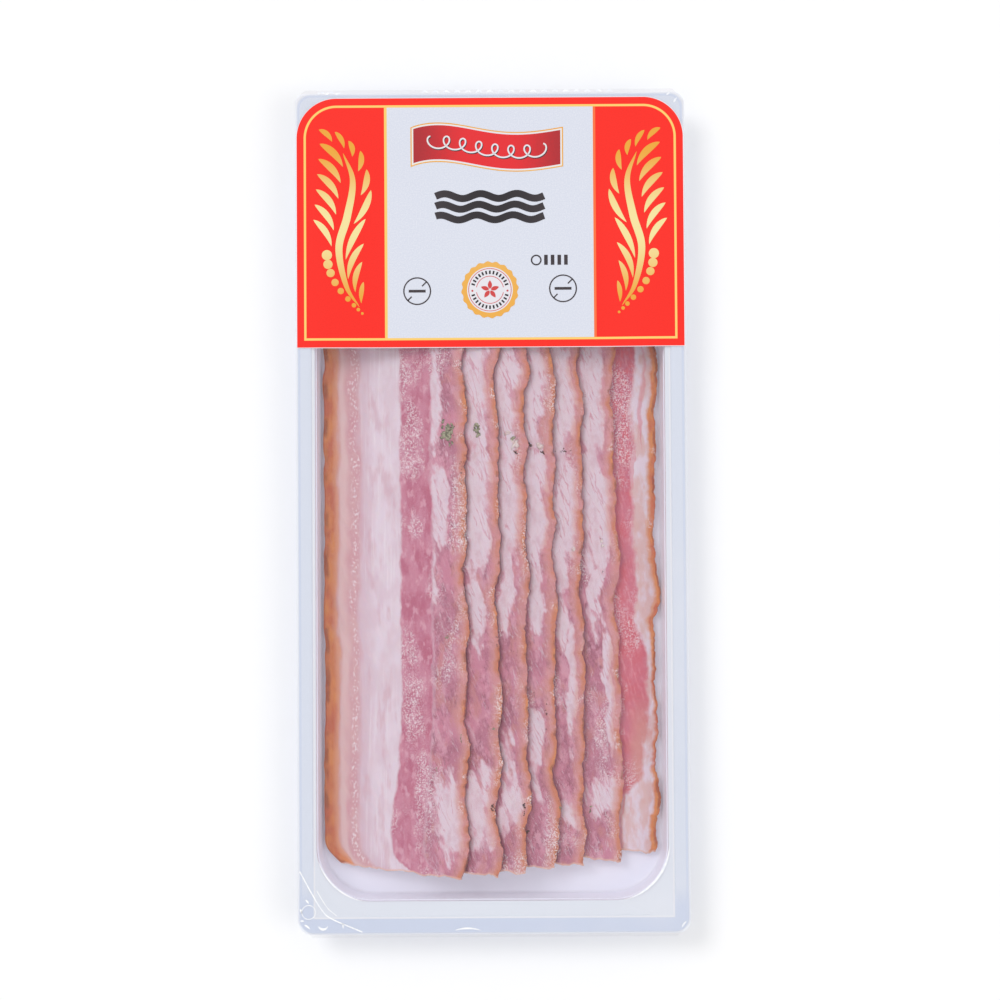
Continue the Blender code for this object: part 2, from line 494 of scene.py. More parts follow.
def raggedEdge(index):  # the right edge as it runs along the rasher
    right, _, lean = rashers[index]
    seed = 11.3 * (index + 1)
    coarse = ragged(seed, [(v, 0) for v in edgeRows], 0.13)
    fine = ragged(seed, [(v, 3) for v in edgeRows], 0.55)
    tiny = ragged(seed, [(v, 6) for v in edgeRows], 1.6)
    lineUp = right + edgeWave(index, edgeRows) - lean * edgeRows / farEnd / 2
    return lineUp + coarse * 0.9 + fine * 0.55 + tiny * 0.3


edgeLines = [raggedEdge(index) for index in range(len(rashers))]


def makeRasher(index):
    r = rasher
    near = rashers[index][1]
    left = leftEdge(index)
    columns, rows = (r["columns"] if index == 0 else r["hiddenColumns"]), r["rows"]
    piece, flat = addGrid(columns, rows)
    piece.name = piece.data.name = f"rasherSlice{index + 1}"
    across, along = (flat[:, 0] + 1) / 2, (flat[:, 1] + 1) / 2
    if index:
        across = 1 - (1 - across) ** r["crowd"]  # more columns towards the edge that shows
    seed = 11.3 * (index + 1)
    nearHere = near + 4.0 * (1 - across)
    y = nearHere + along * (farEnd - nearHere)
    toNear = y - nearHere
    toEnd = np.minimum(toNear, farEnd - y)
    pull = 6.0 * np.maximum(1 - toEnd / 7.5, 0) ** 2
    if index:
        pull = 1.2 * np.maximum(1 - toEnd / 8, 0) ** 2
    rowY = near + along * (farEnd - near)
    coarse = ragged(seed, [(v, 0) for v in rowY[:: columns + 1]], 0.13)
    leftJag = np.repeat(np.roll(coarse, 40) * 0.5 + np.roll(coarse, 25) * 0.18, columns + 1)
    start = left + pull + leftJag + (0.2 if index == 0 else 0.0)
    end = np.interp(y, edgeRows, edgeLines[index]) - 0.4 * pull
    x = start + across * (end - start)
    endJag = ragged(seed, list(zip(x, np.zeros_like(x))), 0.35, 9) * 0.8
    endJag += ragged(seed, list(zip(x, np.zeros_like(x))), 1.4, 12) * 0.25
    y = y + endJag * np.maximum(1 - toNear / 10, 0) ** 2
    fromRight, fromLeft = end - x, x - start
    fromCover = x - np.interp(y, edgeRows, edgeLines[index - 1]) if index else np.full_like(x, 30.0)
    under = np.maximum(softLayers(x) - index, 0)
    z = tray["sheet"] / mm + restGap + r["thick"] / mm / 2 + pitch * under
    roll = ragged(seed, list(zip(x, y * 0.35)), 0.09, 20)
    small = ragged(seed, list(zip(x, y * 0.6)), 0.42, 30)
    z += 0.16 * roll + 0.05 * small
    z += 0.22 * np.exp(-((fromRight / 1.7) ** 2)) * (0.6 + 0.8 * np.repeat(np.roll(coarse, 90), columns + 1))
    strip = np.clip((fromCover - 0.2) / np.maximum(np.minimum(fromCover, 14) + fromRight, 0.1), 0, 1)
    lumps = ragged(seed, list(zip(x + y * 0.35, y * 0.35)), 0.45, 40)
    z += np.sin(np.pi * strip) ** 0.8 * (0.30 + 0.34 * lumps)
    ripple = np.zeros_like(z)
    for middleY, reach, strength in ripples:
        band = np.exp(-(((y - middleY) / reach) ** 2)) * np.exp(-(((fromRight - 5.2) / 2.4) ** 2))
        bend = 1.3 * np.sin(fromRight * 0.9 + index)
        ripple += strength * band * np.sin((y + bend) * 2 * np.pi / 1.55)
    z += ripple
    fade = np.clip(softLayers(x) - index, 0, 1) * 0.9 + 0.1
    z = np.maximum(z, 0.5 + 0.2 + r["thick"] / mm / 2 + pitch * under - 0.1 * fade)
    z = np.minimum(z, lidHeight(x, y) - r["thick"] / mm / 2 - 0.12)
    shapeTo(piece, x, y, z)
    for name, values in (
        ("fromLeft", fromLeft), ("fromRight", fromRight), ("fromEnd", toNear), ("fromCover", fromCover),
    ):
        layer = piece.data.attributes.new(name, "FLOAT", "POINT")
        layer.data.foreach_set("value", values.astype(np.float32))
    thicken(piece, "slab", r["thick"], 0)
    rim = piece.modifiers.new("rim", "BEVEL")
    rim.width = 0.42 * mm
    rim.segments = 3
    rim.limit_method = "ANGLE"
    rim.angle_limit = math.radians(50)
    applyAll(piece)
    bpy.ops.object.shade_smooth()
    return piece


meat = {  # screen colours
    "rindDark": (148, 56, 34), "rind": (208, 108, 72), "rindGold": (230, 150, 82),
    "rindPale": (222, 156, 126),
    "fatPale": (224, 188, 188), "fat": (220, 194, 207), "fatWhite": (232, 216, 228),
    "salmon": (218, 154, 144), "fatStrip": (220, 190, 203), "fatBright": (228, 208, 220),
    "pinkSoft": (212, 168, 182), "rosy": (208, 148, 160), "lean": (206, 132, 156),
    "leanDeepAndShade": (190, 98, 128), "leanPale": (224, 170, 188), "mauve": (188, 116, 140),
    "mauveDeepAndShade": (152, 82, 106), "veinAndShadeDark": (126, 62, 84),
    "tan": (204, 134, 130), "crust": (206, 122, 84), "crustDarkAndShade": (140, 72, 52), "cutEdge": (228, 186, 172),
    # the next line ends with the white of painted glints on the meat; the line after it also sets the extra
    # painted glints on the upper part of the first and last rasher
    "bright": (216, 100, 118), "brightPale": (230, 152, 164), "glintWhite": (248, 242, 247),
    "rough": 0.36, "glintBoost": 0.09, "glintBoosted": (0, 6),
}


highLobes = ((37, 18, 6.9, 3.7, 1.6), (1, 17, 6.7, 3.9, 1.6), (-27, 13, 6.4, 2.6, 1.0))
endLobe = (-88, 10, 5.5, 4.2, 0.9)
fatLobes = (  # middle along, reach along, middle from the edge, reach across, strength
    ((36, 17, 9.3, 2.3, 1.0), (4, 15, 8.2, 3.0, 1.0), (-22, 12, 9.2, 1.8, 0.7), (-94, 13, 5.2, 4.4, 1.1)),
    (*highLobes, (-92, 13, 5.0, 4.6, 1.1)),
    (*highLobes, (-78, 9, 6.5, 3.0, 0.8), endLobe),
    (*highLobes, (-72, 15, 5.8, 2.6, 0.9)),
    (*highLobes, (-55, 18, 3.6, 1.7, 1.1), (-92, 5, 4.0, 3.2, 0.8)),
    (*highLobes, (-54, 17, 3.2, 1.6, 1.1), (-88, 6, 5.0, 6.0, 1.1)),
)


def tone(name):
    return srgb(*meat[name])


def rasherPaint(index):
    p = Paint(
        f"cured belly {index + 1}", meat["rough"], IOR=1.42, Coat_Weight=0.25, Coat_Roughness=0.12,
        Subsurface_Weight=0.15, Subsurface_Scale=0.0015,
    )
    seed = 23.7 * (index + 1)
    x, y, _ = p.inMm()
    f = {"x": x, "y": y}
    for name in ("fromLeft", "fromRight", "fromEnd", "fromCover"):
        f[name] = p.own(name)
    f["long"] = p.cloud(p.vector(x, y * 0.2, seed), 0.2, 4) - 0.5
    f["wavy"] = p.cloud(p.vector(x, y * 0.5, seed + 3), 0.35, 4) - 0.5
    f["fibre"] = p.cloud(p.vector(x + y * 0.25 + f["wavy"] * 1.5, y * 0.12, seed + 9), 1.3, 3)
    f["blotch"] = p.cloud(p.vector(x, y * 0.8, seed + 5), 0.13, 4)
    f["patchy"] = p.cloud(p.vector(x, y * 0.42, seed + 13), 0.30, 5)
    f["mottle"] = p.cloud(p.vector(x, y * 0.6, seed + 17), 0.8, 5, 0.62)
    f["grain"] = p.cloud(p.vector(x, y * 0.6, seed + 7), 1.9, 3)
    # runs down to the right
    f["slanted"] = p.cloud(p.vector(x + y * 0.30, y * 0.26, seed + 21), 0.36, 3, 0.45)
    if index == 6:
        colour, lean = lastRasher(p, f, seed)
    else:
        colour, lean = stripColour(p, f, index)
        if index == 0:
            colour, lean = broadSide(p, f, colour, lean, seed)
        colour = smokedEdge(p, f, colour, seed)
        # painted shadow: where this rasher comes out from under the one above, a deep mauve band and a thin
        # dark maroon line stand for the shade under the upper edge
        coverShade = (1 - (f["fromCover"] + f["wavy"] * 1.5).step(0.0, 2.0)) * 0.5
        colour = p.blend(colour, tone("mauveDeepAndShade"), coverShade)
        colour = p.blend(colour, tone("veinAndShadeDark"), (1 - f["fromCover"].step(0.1, 0.75)) * 0.8)
    colour = p.blend(colour, tone("cutEdge"), (1 - f["fromEnd"].step(0.25, 0.75)) * 0.8)
    colour, glintMask = paintedGlints(p, f, colour, lean, seed, index)
    p.give("Base Color", colour)
    p.give("Roughness", meat["rough"] - 0.14 + f["grain"] * 0.28 + lean * 0.04)
    p.bump(f["fibre"] * 0.6 + f["slanted"] * 0.6 + glintMask * 0.8 + f["mottle"] * 0.6, 0.3, 0.35 * mm)
    return p.material


def rindColour(p, f, rind, seed):
    along = p.cloud(p.vector(0, f["y"], seed), 0.085, 2)
    uneven = rind + f["wavy"] * 1.2
    dark = (1 - uneven.step(0.8, 2.0)) * along.step(0.44, 0.58)
    thin = 1 - (rind + f["grain"] * 0.7).step(0.35, 1.0)
    gold = (along * 0.5 + f["patchy"] * 0.5).step(0.40, 0.58)
    colour = p.blend(tone("rind"), tone("rindGold"), gold * 0.8)
    colour = p.blend(colour, tone("rindPale"), (rind + f["long"] * 2 + f["grain"]).step(2.9, 4.9))
    return p.blend(colour, tone("rindDark"), dark.most(thin * 0.8) * (0.72 + 0.5 * (f["fibre"] - 0.5)))


def stripColour(p, f, index):  # mixed meat and fat along the right side
    x, y, long, wavy, patchy, mottle = (f[k] for k in ("x", "y", "long", "wavy", "patchy", "mottle"))
    flesh = p.blend(tone("mauve"), tone("lean"), f["blotch"].step(0.44, 0.60))
    flesh = p.blend(flesh, tone("mauveDeepAndShade"), (patchy * 0.5 + mottle * 0.5).step(0.50, 0.66) * 0.7)
    flesh = p.blend(flesh, tone("leanPale"), (mottle * 0.5 + f["slanted"] * 0.5).step(0.50, 0.38) * 0.6)
    tanned = p.cloud(p.vector(x, y * 0.5, 91 + index), 0.22, 3).step(0.52, 0.66)
    flesh = p.blend(flesh, tone("tan"), tanned * 0.55)
    bentY, bentRight = y + long * 14 + wavy * 5, f["fromRight"] + long * 2.4 + wavy * 1.6
    field = None
    for middleY, reach, right, half, strength in fatLobes[index]:
        lobe = strength - ((bentY - middleY) / reach).power(2) - ((bentRight - right) / half).power(2)
        field = lobe if field is None else field.most(lobe)
    field = field.most(-1.4) + (f["slanted"] - 0.5) * 4.6 + (mottle - 0.5) * 1.4
    fatty = field.step(-0.3, 0.4)
    fatTone = p.blend(tone("fatStrip"), tone("fatBright"), (patchy * 0.6 + mottle * 0.4).step(0.36, 0.52))
    fatTone = p.blend(fatTone, tone("salmon"), (1 - f["fromRight"].step(1.2, 3.4)) * 0.6)
    fatTone = p.blend(fatTone, tone("leanPale"), (1 - field.step(0.1, 0.7)) * 0.45)
    veins = p.cloud(p.vector(x + y * 0.36 + wavy * 2, y * 0.14, 31.0 + index), 0.55, 3, 0.5)
    thread = 1 - (veins - 0.5).size().step(0.004, 0.04)
    fatTone = p.blend(fatTone, tone("lean"), thread * patchy.step(0.44, 0.58) * 0.7)
    colour = p.blend(flesh, fatTone, fatty)
    pale = 1 - (veins - 0.42).size().step(0.0, 0.02)
    colour = p.blend(colour, tone("fat"), pale * (1 - fatty) * mottle.step(0.4, 0.56) * 0.7)
    dark = (1 - (veins - 0.56).size().step(0.0, 0.016)) * (1 - fatty) * patchy.step(0.42, 0.56)
    colour = p.blend(colour, tone("veinAndShadeDark"), dark * 0.55)
    return colour, 1 - fatty


def broadSide(p, f, strip, stripLean, seed):  # rind, back fat and the lean band of the one that shows whole
    y, long, wavy, patchy, mottle = (f[k] for k in ("y", "long", "wavy", "patchy", "mottle"))
    rind = f["fromLeft"]
    deep = rind + long * 2.6 + wavy * 1.2
    colour = rindColour(p, f, rind, seed)
    colour = p.blend(colour, tone("fatPale"), (deep + mottle).step(4.6, 5.8))
    colour = p.blend(colour, tone("tan"), deep.between(4.4, 5.2, 0.4) * 0.3)
    rosy = (deep + long * 1.5).between(7.2, 11.4, 1.1) * (0.35 + 1.2 * (f["blotch"] - 0.25))
    colour = p.blend(colour, tone("fat"), deep.step(9.5, 12.0))
    colour = p.blend(colour, tone("rosy"), rosy.least(0.95).most(0))
    cloudy = (f["blotch"] * 0.5 + patchy * 0.5 + long * 0.25).step(0.40, 0.58)
    colour = p.blend(colour, tone("fatWhite"), (deep + wavy * 1.5).step(12.5, 17) * (0.45 + 0.55 * cloudy))
    drift = p.cloud(p.vector(f["x"], y * 0.22, seed + 61), 0.28, 4, 0.6)
    colour = p.blend(colour, tone("pinkSoft"), drift.step(0.52, 0.68) * deep.step(8, 12) * 0.55)
    # painted sheen: long pale streaks over the back fat, then painted glints in a band along it
    paintedSheen = p.cloud(p.vector(f["x"], y * 0.03, 61), 1.2, 3)
    colour = p.blend(colour, tone("glintWhite"), paintedSheen.step(0.46, 0.30) * deep.step(9, 14) * 0.3)
    glintBand = (deep + wavy * 2).between(8.6, 10.6, 0.8) * f["grain"].step(0.52, 0.62)
    colour = p.blend(colour, tone("glintWhite"), glintBand * 0.6)
    shift = 3.0 * (1 - y.step(-104, -62))
    inner = rind + long * 2.4 + wavy * 1.6 + mottle * 1.0 - 0.5 + shift
    lean = inner.step(23.5, 24.6) * (1 - inner.step(33.0, 34.6))
    leanTone = p.blend(tone("lean"), tone("leanDeepAndShade"), (f["blotch"] * 0.4 + patchy * 0.6).step(0.42, 0.60))
    pale = p.cloud(p.vector(f["x"], y * 0.5, 71), 0.55, 4).step(0.50, 0.66)
    leanTone = p.blend(leanTone, tone("leanPale"), pale * 0.65)
    colour = p.blend(colour, leanTone, lean)
    outer = inner.step(33.0, 34.6)
    return p.blend(colour, strip, outer), lean.most(outer * stripLean)


def lastRasher(p, f, seed):  # lean side up to the rind on the right
    y, patchy, mottle, rind = f["y"], f["patchy"], f["mottle"], f["fromRight"]
    deep = rind + f["long"] * 2.0 + f["wavy"] * 1.4
    narrow = 4.2 * y.between(-84, -38, 9)
    colour = rindColour(p, f, rind * (1.7 + 1.2 * y.between(-60, 10, 20)), seed)
    pale = p.blend(tone("fatPale"), tone("fatWhite"), patchy.step(0.4, 0.6))
    pale = p.blend(pale, tone("salmon"), f["blotch"].step(0.54, 0.68) * 0.25)
    colour = p.blend(colour, pale, (deep + narrow * 0.3 + mottle).step(2.0, 3.4))
    low = 9.0 * (1 - y.step(-96, -80))
    lean = (deep + narrow - low + mottle * 1.6 + f["long"] * 4 - 0.8).step(6.0, 8.0)
    leanTone = p.blend(tone("bright"), tone("lean"), f["blotch"].step(0.35, 0.65) * 0.5)
    farther = (y + f["wavy"] * 20).step(-6, 22)
    leanTone = p.blend(leanTone, tone("leanDeepAndShade"), farther * mottle.step(0.38, 0.62) * 0.7)
    silky = (f["fibre"] * 0.5 + mottle * 0.5).step(0.48, 0.66)
    leanTone = p.blend(leanTone, tone("brightPale"), silky * 0.6)
    warm = y.between(-92, -62, 8) * (1 - deep.step(5, 10))
    leanTone = p.blend(leanTone, tone("salmon"), warm * 0.7)
    colour = p.blend(colour, leanTone, lean)
    streak = p.cloud(p.vector(rind, y * 0.04, 83), 0.6, 2).step(0.55, 0.66)
    colour = p.blend(colour, tone("bright"), streak * (1 - lean) * deep.step(3.0, 4.4) * 0.5)
    # painted shadow: deeper lean where this rasher comes out from under the one above
    coverShade = (1 - (f["fromCover"] + f["wavy"] * 1.2).step(0.0, 1.6)) * 0.4
    return p.blend(colour, tone("leanDeepAndShade"), coverShade), lean


def smokedEdge(p, f, colour, seed):
    edge = f["fromRight"] + f["wavy"] * 1.6 + f["grain"] * 0.5
    strength = p.cloud(p.vector(0, f["y"], seed + 27), 0.11, 3)
    colour = p.blend(colour, tone("salmon"), (1 - edge.step(1.2, 4.4)) * (0.35 + 0.6 * strength))
    colour = p.blend(colour, tone("crust"), (1 - edge.step(0.7, 2.0)) * strength.step(0.36, 0.56) * 0.85)
    colour = p.blend(colour, tone("rindGold"), (1 - edge.step(0.5, 1.3)) * strength.step(0.60, 0.70) * 0.6)
    # dark crust colour at the very right edge: partly the crust's own colour, partly painted shade along the
    # edge's side
    darkCrustAndShade = (1 - edge.step(0.35, 0.9)) * p.cloud(p.vector(0, f["y"], seed + 29), 0.3, 4).step(0.46, 0.62)
    return p.blend(colour, tone("crustDarkAndShade"), darkCrustAndShade * 0.7)


def paintedGlints(p, f, colour, lean, seed, index):  # painted glints: fine pale threads and beads, most on the lean and in clusters near the edges, stand for glints of damp meat under the film
    x, y = f["x"], f["y"]
    curls = p.cloud(p.vector(x, y * 0.8, seed + 40), 1.5, 2)
    threads = (1 - (curls - 0.5).size().step(0.0, 0.075)) * f["grain"].step(0.44, 0.54)
    beads = p.cloud(p.vector(x, y, seed + 42), 2.4, 2).step(0.57, 0.66)
    here = p.cloud(p.vector(x, y * 0.4, seed + 44), 0.11, 3)
    upper = y.step(-45, 25) * (meat["glintBoost"] if index in meat["glintBoosted"] else 0.0)
    glintMask = threads.most(beads) * (here + upper).step(0.52, 0.68) * (0.06 + 0.80 * lean)
    nearEdge = 1 - f["fromRight"].least(f["fromCover"].size()).step(0.8, 3.4)
    cluster = p.cloud(p.vector(x, y, seed + 48), 0.14, 2).step(0.60, 0.70)
    glintMask = glintMask.most(threads.most(beads) * cluster * nearEdge * 0.9)
    return p.blend(colour, tone("glintWhite"), glintMask.least(0.9)), glintMask


flecks = {  # centre, spread and number of the small bits, in mm
    "herbBits": (
        (-13.6, 24.2, 1.6, 3.6, 40, 0.95), (-4.5, 25.0, 0.8, 1.7, 14, 0.9), (6.6, 22.4, 0.5, 0.7, 4, 0.8),
        (-14.0, -38.8, 0.9, 0.7, 6, 0.4), (0.2, -66.6, 0.3, 0.6, 3, 0.6), (-9.9, -69.6, 0.3, 1.7, 7, 0.4),
        (30.0, -91.8, 0.2, 0.8, 3, 0.6), (20.6, -91.4, 0.4, 0.5, 3, 0.5), (-17.5, -79.0, 0.4, 1.0, 3, 0.35),
    ),
    "pepperBits": (
        (-12.8, 25.6, 1.5, 2.4, 7, 0.36), (7.2, 18.2, 0.7, 0.5, 5, 0.5), (15.8, 18.2, 0.9, 0.5, 6, 0.5),
        (11.9, 20.6, 0.5, 0.4, 5, 0.6), (22.6, 18.6, 2.6, 0.6, 9, 0.34), (-9.4, 10.0, 0.4, 6.0, 7, 0.3),
        (-0.4, -90.6, 0.5, 1.6, 9, 0.42), (9.4, -91.4, 0.5, 2.4, 10, 0.42), (10.6, -98.4, 0.3, 0.5, 3, 0.6),
        (1.2, -40.0, 0.5, 9.0, 7, 0.28), (16.5, -62.0, 0.4, 4.0, 5, 0.3), (34.0, -14.0, 0.8, 10.0, 5, 0.3),
    ),
    "gristleBits": (
        (7.6, 20.5, 0.5, 0.4, 3, 1.9), (14.8, 19.9, 0.6, 0.4, 3, 1.6), (5.0, 24.0, 0.3, 0.4, 2, 1.1),
        (33.9, -10.4, 0.3, 0.8, 2, 1.0), (25.0, -12.0, 0.3, 1.0, 2, 1.0),
    ),
}


def scatter(name, surfaces, random):
    bits = []
    for middleX, middleY, spreadX, spreadY, count, size in flecks[name]:
        for _ in range(count):
            x, y = middleX + random.gauss(0, 0.5) * spreadX, middleY + random.gauss(0, 0.5) * spreadY
            hits = [tree.ray_cast(Vector((x * mm, y * mm, 0.05)), Vector((0, 0, -1)))[0] for tree in surfaces]
            height = max((hit.z for hit in hits if hit), default=0.0)
            bpy.ops.mesh.primitive_ico_sphere_add(subdivisions=2, radius=1)
            bit = bpy.context.object
            wide, long = size * random.uniform(0.25, 0.5), size * random.uniform(0.45, 0.95)
            spin, seed = random.uniform(0, math.pi), random.uniform(0, 99)
            flat = points(bit)
            rough = 1 + 0.75 * ragged(seed, [(a + 2 * c, b) for a, b, c in flat], 1.4)
            flat = flat * rough[:, None] * (wide, long, 0.2 + 0.12 * size)
            cosine, sine = math.cos(spin), math.sin(spin)
            turned = flat[:, :2] @ np.array(((cosine, sine), (-sine, cosine)))
            place = np.column_stack([turned[:, 0] + x, turned[:, 1] + y, flat[:, 2] + height / mm])
            setPoints(bit, place * mm)
            bits.append(bit)
    whole = join(bits, name)
    whole.data.shade_smooth()
    return whole


def fleckPaint(name, colour, other, rough):
    p = Paint(name, rough, Coat_Weight=0.3, Coat_Roughness=0.15)
    x, y, z = p.inMm()
    vary = p.cloud(p.vector(x, y, z), 1.1, 3)
    p.give("Base Color", p.blend(srgb(*colour), srgb(*other), vary.step(0.38, 0.62)))
    p.give("Roughness", rough - 0.1 + vary * 0.2)
    p.bump(vary, 0.3, 0.15 * mm)
    return p.material


def makeFlecks(slabs):
    surfaces = [BVHTree.FromObject(slab, bpy.context.evaluated_depsgraph_get()) for slab in slabs]
    random = Random(17)
    looks = (
        ("herbBits", "cured herb", (170, 168, 140), (110, 110, 84), 0.5),
        ("pepperBits", "ground pepper", (70, 42, 40), (112, 62, 58), 0.5),
        ("gristleBits", "gristle", (234, 222, 220), (222, 196, 192), 0.3),
    )
    return [(scatter(name, surfaces, random), fleckPaint(*look)) for name, *look in looks]


def makeFilm():
    f = film
    piece, flat = addGrid(f["columns"], f["rows"])
    piece.name = piece.data.name = "lidFilm"
    wide, long = halfWide / mm, filmHigh.y / mm
    x, y = flat[:, 0] * wide, flat[:, 1] * long
    inside = depthInside(x, y)
    sway = ragged(3.0, list(zip(x, y)), 0.035)
    crease = ragged(5.0, list(zip(x, y * 0.5)), 0.11)
    z = lidHeight(x, y) + (0.10 * sway + 0.05 * crease) * smooth(inside / 6)
    shapeTo(piece, x, y, z)
    cutCorners(piece, wide, long)
    thicken(piece, "skin", f["thick"] * mm, 1)
    applyAll(piece)
    bpy.ops.object.shade_smooth_by_angle(angle=math.radians(40))
    return piece


def cutCorners(piece, wide, long):
    for (sideX, sideY), cut in zip(corners, tray["cuts"]):
        enter(piece)
        place = Vector((sideX * (wide - cut / 2), sideY * (long - cut / 2), 0)) * mm
        bpy.ops.mesh.bisect(plane_co=place, plane_no=(sideX, sideY, 0), clear_outer=True)
        leave()


def filmPaint():
    p = Paint("clear film", 0.07, Metallic=1.0)  # only its gloss, the rest shows through
    p.give("Base Color", film["gloss"])
    clear = p.node("ShaderNodeBsdfTransparent", {}, {"Color": film["tint"]}, "BSDF")
    facing = p.node("ShaderNodeLayerWeight", {}, {"Blend": 0.5}, "Facing")
    inputs = {"Fac": facing.power(5) * 0.9 + 0.03, 1: clear, 2: Wire(p, p.shader.outputs[0])}
    mixed = p.node("ShaderNodeMixShader", {}, inputs)
    output = next(n for n in p.tree.nodes if n.type == "OUTPUT_MATERIAL")
    p.tree.links.new(mixed.socket, output.inputs["Surface"])
    return p.material


label = {
    "thick": 0.16, "gap": 0.05, "corner": 12.5, "border": 2.35, "line": 0.7, "panelHalf": 31.8,
    "red": (250, 34, 18), "gold": (248, 206, 110), "white": (214, 218, 231), "grid": (118, 80),
}


def labelTop(x, y):
    return lidHeight(x, y) + film["thick"] + label["gap"] + label["thick"]


def makeLabel():
    piece, flat = addGrid(*label["grid"])
    piece.name = piece.data.name = "labelSheet"
    low, high = labelLow.y / mm, labelHigh.y / mm
    radius = label["corner"]
    share = (flat[:, 1] + 1) / 2
    turn = np.clip((share - 0.8) / 0.2, 0, 1) * np.pi / 2
    straight = high - low - radius
    y = low + np.where(share < 0.8, share / 0.8 * straight, straight + radius * np.sin(turn))
    half = labelHigh.x / mm - radius * (1 - np.cos(turn))
    x = flat[:, 0] * half
    z = labelTop(x, y) - label["thick"]
    shapeTo(piece, x, y, z)
    thicken(piece, "paper", label["thick"] * mm, 1)
    applyAll(piece)
    bpy.ops.object.shade_smooth_by_angle(angle=math.radians(40))
    return piece


def labelPaint():
    p = Paint("printed paper", 0.38, IOR=1.4, Coat_Weight=0.08, Coat_Roughness=0.2)
    x, y, _ = p.inMm()
    half, low, high, radius = labelHigh.x / mm, labelLow.y / mm, labelHigh.y / mm, label["corner"]
    side = x.size()
    overX, overY = side - (half - radius), y - (high - radius)
    inward = insetFrom(overX, overY, radius).least(y - low)
    grain = p.cloud(p.vector(x, y, 0), 2.4, 2)
    redPrint = p.blend(srgb(*label["red"]), srgb(236, 26, 16), grain.step(0.35, 0.75) * 0.4)
    panel = 1 - (side - label["panelHalf"]).step(-0.04, 0.04)
    paper = p.blend(srgb(*label["white"]), srgb(236, 237, 243), grain.step(0.4, 0.7) * 0.4)
    field = (inward - label["border"] - label["line"]).step(-0.04, 0.04)
    edgeLine = (inward - label["border"]).step(-0.05, 0.05) * (1 - field)
    seam = (side - label["panelHalf"]).between(-0.1, 0.75, 0.05) * field * (1 - x.step(-1, 1) * 0.75)
    colour = p.blend(redPrint, paper, panel * field)
    colour = p.blend(colour, srgb(*label["gold"]), edgeLine.most(seam))
    colour = p.blend(srgb(238, 236, 240), colour, inward.step(0.12, 0.24))
    p.give("Base Color", colour)
    p.give("Roughness", 0.3 + grain * 0.14)
    p.bump(grain, 0.05, 0.1 * mm)
    return p.material


ink = {
    "lift": 0.02, "thick": 0.02,
    "goldDeep": (234, 164, 46), "goldPale": (242, 224, 156), "sealGold": (234, 172, 72),
    "bannerRed": (226, 24, 34), "bannerDark": (170, 22, 34), "ringRed": (206, 62, 62), "black": (28, 20, 28),
    "stem": ((-45.2, 110.5), (-42.3, 102.0), (-44.0, 91.0), (-46.6, 81.0), (-44.4, 69.5), (-40.4, 63.0)),
    "stemHalf": 1.15, "beads": 9, "ribbon": (-24.4, 22.6, 112.2, 6.1), "seal": (-0.2, 68.1, 8.6),
}
# tip, foot, widest half and bow of each slim leaf beside the stem
innerLeaves = (
    (-47.7, 117.1, -44.9, 112.1, 0.75, 0.10), (-43.5, 114.3, -42.4, 109.5, 0.80, 0.12),
    (-39.9, 111.2, -40.6, 105.0, 0.85, 0.10), (-38.0, 105.5, -39.8, 97.6, 0.95, 0.10),
    (-36.7, 99.1, -42.0, 88.7, 1.0, 0.07), (-38.4, 90.2, -44.5, 77.7, 1.0, -0.06),
    (-39.0, 82.5, -43.8, 71.6, 0.95, -0.10), (-39.5, 76.9, -41.6, 67.6, 0.85, -0.10),
    (-39.1, 70.7, -39.8, 64.2, 0.7, -0.05),
)


def stroke(path, half, along=24, across=2, lift=0.0, ground=labelTop):  # a thin print along a path
    piece, flat = addGrid(along, across)
    u, v = (flat[:, 0] + 1) / 2, flat[:, 1]
    step = 0.002
    x, y = path(u)
    (backX, backY), (aheadX, aheadY) = path(u - step), path(u + step)
    runX, runY = aheadX - backX, aheadY - backY
    run = np.hypot(runX, runY)
    reach = v * half(u) / run
    x, y = x - runY * reach, y + runX * reach
    z = ground(x, y) + ink["lift"] + lift
    shapeTo(piece, x, y, z)
    enter(piece)
    bpy.ops.mesh.remove_doubles(threshold=0.004 * mm)
    leave()
    thicken(piece, "body", ink["thick"] * mm, 1)
    applyAll(piece)
    return piece


def straight(x0, y0, x1, y1, bow=0.0):
    length = math.hypot(x1 - x0, y1 - y0)
    sideX, sideY = -(y1 - y0) / length, (x1 - x0) / length

    def path(u):
        out = 4 * bow * length * u * (1 - u)
        return x0 + (x1 - x0) * u + sideX * out, y0 + (y1 - y0) * u + sideY * out
    return path


def around(x, y, radius, start=0.0, turn=1.0):
    def path(u):
        angle = 2 * np.pi * (start + turn * u)
        return x + radius * np.cos(angle), y + radius * np.sin(angle)
    return path


def through(spots):  # smooth line through given spots
    spots = np.array(spots)
    spots = np.vstack([2 * spots[0] - spots[1], spots, 2 * spots[-1] - spots[-2]])

    def path(u):
        place = np.clip(u, 0, 1) * (len(spots) - 3)
        first = np.minimum(place.astype(int), len(spots) - 4)
        t = (place - first)[:, None]
        a, b, c, d = (spots[first + i] for i in range(4))
        line = b + 0.5 * t * (c - a + t * (2 * a - 5 * b + 4 * c - d + t * (3 * (b - c) + d - a)))
        outside = (u - np.clip(u, 0, 1))[:, None] * (len(spots) - 3) * (c - b)
        return tuple((line + outside).T)
    return path


def even(width):
    return lambda u: np.full_like(u, width)


def leafy(width, fullest=0.85):
    return lambda u: 0.03 + width * np.sin(np.pi * np.clip(u, 0, 1) ** fullest) ** 0.85


def mirrored(path, side):
    def turned(u):
        x, y = path(u)
        return side * x, y
    return turned


def disc(x, y, radius, steps=24, lift=0.0):
    return stroke(around(x, y, radius / 2), even(radius / 2 - 0.01), steps, 2, lift)


